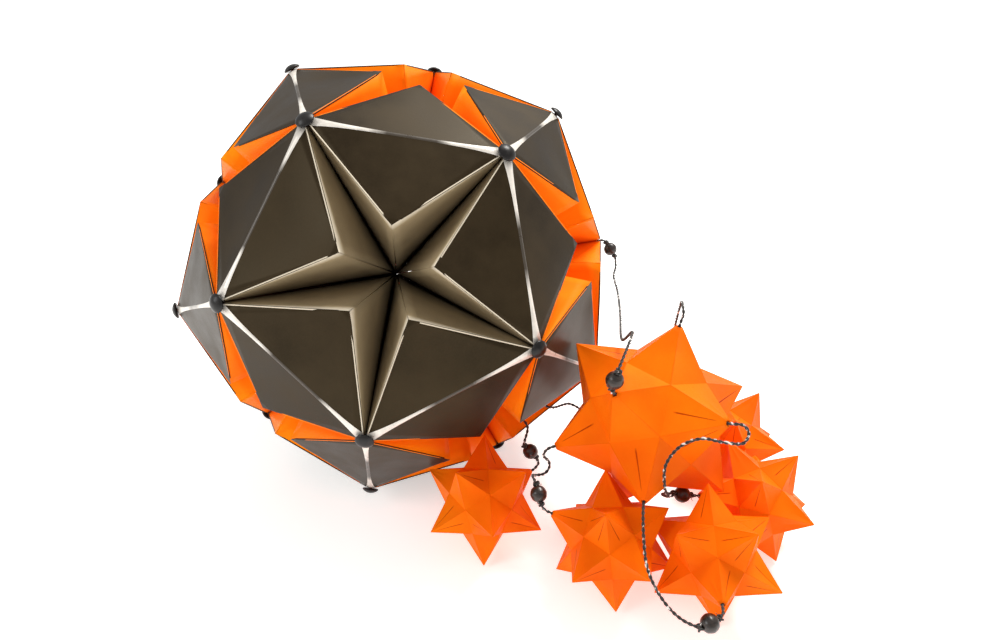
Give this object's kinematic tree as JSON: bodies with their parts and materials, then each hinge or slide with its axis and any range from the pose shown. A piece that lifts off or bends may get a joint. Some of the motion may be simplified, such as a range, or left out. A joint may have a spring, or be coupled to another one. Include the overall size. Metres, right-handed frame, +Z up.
{
  "type": "paper kusudama ball",
  "caption": "Modular folded-paper ball with star-shaped recesses and small studs at its points, with a beaded cord pendant of paper stars.",
  "frame": {"origin": "on the table under the centre of the ball", "axes": "+Z up, the side shown in the picture faces -Y, +X to the right towards the pendant"},
  "size_m": [0.2868, 0.2573, 0.1947],
  "materials": {
    "black_paper": "black satin folding paper, orange on its other side",
    "orange_paper": "matte orange folding paper",
    "stud": "black satin domed head",
    "bead": "satin dark brown bead",
    "cord": "two-strand twisted black and white cord"
  },
  "bodies": {
    "ball": {"module_01": "black_paper", "module_02": "black_paper", "module_03": "black_paper", "module_04": "black_paper", "module_05": "black_paper", "module_06": "black_paper", "module_07": "black_paper", "module_08": "black_paper", "module_09": "black_paper", "module_10": "black_paper", "module_11": "black_paper", "module_12": "black_paper", "module_13": "black_paper", "module_14": "black_paper", "module_15": "black_paper", "module_16": "black_paper", "module_17": "black_paper", "module_18": "black_paper", "module_19": "black_paper", "module_20": "black_paper", "module_21": "black_paper", "module_22": "black_paper", "module_23": "black_paper", "module_24": "black_paper", "module_25": "black_paper", "module_26": "black_paper", "module_27": "black_paper", "module_28": "black_paper", "module_29": "black_paper", "module_30": "black_paper", "stud_foot": "stud", "stud_front_foot": "stud", "stud_right_low": "stud", "stud_front_bottom": "stud", "stud_front_left": "stud", "stud_front_right": "stud", "stud_top_right": "stud", "stud_top_back": "stud", "stud_top_left": "stud", "stud_front_top_left": "stud", "stud_front_top_right": "stud"},
    "pendant": {"star_large": "orange_paper", "cord_main": "cord", "cord_1": "cord", "cord_2": "cord", "cord_3": "cord", "cord_4": "cord", "cord_5": "cord"},
    "star_1": {"star_1": "orange_paper"},
    "star_2": {"star_2": "orange_paper"},
    "star_3": {"star_3": "orange_paper"},
    "star_4": {"star_4": "orange_paper"},
    "star_5": {"star_5": "orange_paper"},
    "bead_top": {"bead_top": "bead"},
    "bead_large": {"bead_large": "bead"},
    "bead_1": {"bead_1": "bead"},
    "bead_2": {"bead_2": "bead"},
    "bead_3": {"bead_3": "bead"},
    "bead_4": {"bead_4": "bead"},
    "bead_5": {"bead_5": "bead"}
  },
  "joints": [
    {"name": "pendant_swing", "type": "hinge", "parent": "ball", "child": "pendant", "pos_m": [0.1008, 0.0303, 0.1012], "axis": [-0.242, -0.35, 0.905], "range_deg": [0, 20]},
    {"name": "star_1_swing", "type": "hinge", "parent": "pendant", "child": "star_1", "pos_m": [0.0599, -0.0684, 0.0261], "axis": [-0.9397, -0.342, 0], "range_deg": [0, 30]},
    {"name": "star_2_swing", "type": "hinge", "parent": "pendant", "child": "star_2", "pos_m": [0.1357, -0.0504, 0.0272], "axis": [0.7071, -0.7071, 0], "range_deg": [0, 30]},
    {"name": "star_3_swing", "type": "hinge", "parent": "pendant", "child": "star_3", "pos_m": [0.133, -0.0901, 0.0298], "axis": [0.866, -0.5, 0], "range_deg": [0, 25]},
    {"name": "star_4_swing", "type": "hinge", "parent": "pendant", "child": "star_4", "pos_m": [0.0688, -0.1054, 0.0353], "axis": [0.834, -0.1005, -0.5426], "range_deg": [0, 5]},
    {"name": "star_5_swing", "type": "hinge", "parent": "pendant", "child": "star_5", "pos_m": [0.1278, -0.1426, 0.0251], "axis": [0.2532, 0.9621, 0.1013], "range_deg": [0, 5]},
    {"name": "bead_top_spin", "type": "hinge", "parent": "pendant", "child": "bead_top", "pos_m": [0.1074, 0.0298, 0.0965], "axis": [0.5398, -0.2511, -0.8035], "continuous": true},
    {"name": "bead_large_spin", "type": "hinge", "parent": "pendant", "child": "bead_large", "pos_m": [0.0896, -0.1036, 0.098], "axis": [-0.1892, 0.1538, -0.9698], "continuous": true},
    {"name": "bead_1_spin", "type": "hinge", "parent": "pendant", "child": "bead_1", "pos_m": [0.0608, -0.0634, 0.0345], "axis": [0.6357, -0.0113, -0.7719], "continuous": true},
    {"name": "bead_2_spin", "type": "hinge", "parent": "pendant", "child": "bead_2", "pos_m": [0.1271, -0.0537, 0.0285], "axis": [0.9206, 0.3548, -0.163], "continuous": true},
    {"name": "bead_3_spin", "type": "hinge", "parent": "pendant", "child": "bead_3", "pos_m": [0.1242, -0.0917, 0.0326], "axis": [0.9503, 0.1728, -0.2592], "continuous": true},
    {"name": "bead_4_spin", "type": "hinge", "parent": "pendant", "child": "bead_4", "pos_m": [0.0625, -0.0998, 0.0412], "axis": [0.2178, -0.7451, -0.6304], "continuous": true},
    {"name": "bead_5_spin", "type": "hinge", "parent": "pendant", "child": "bead_5", "pos_m": [0.1209, -0.1508, 0.0253], "axis": [0.9288, 0.344, 0.1376], "continuous": true}
  ]
}
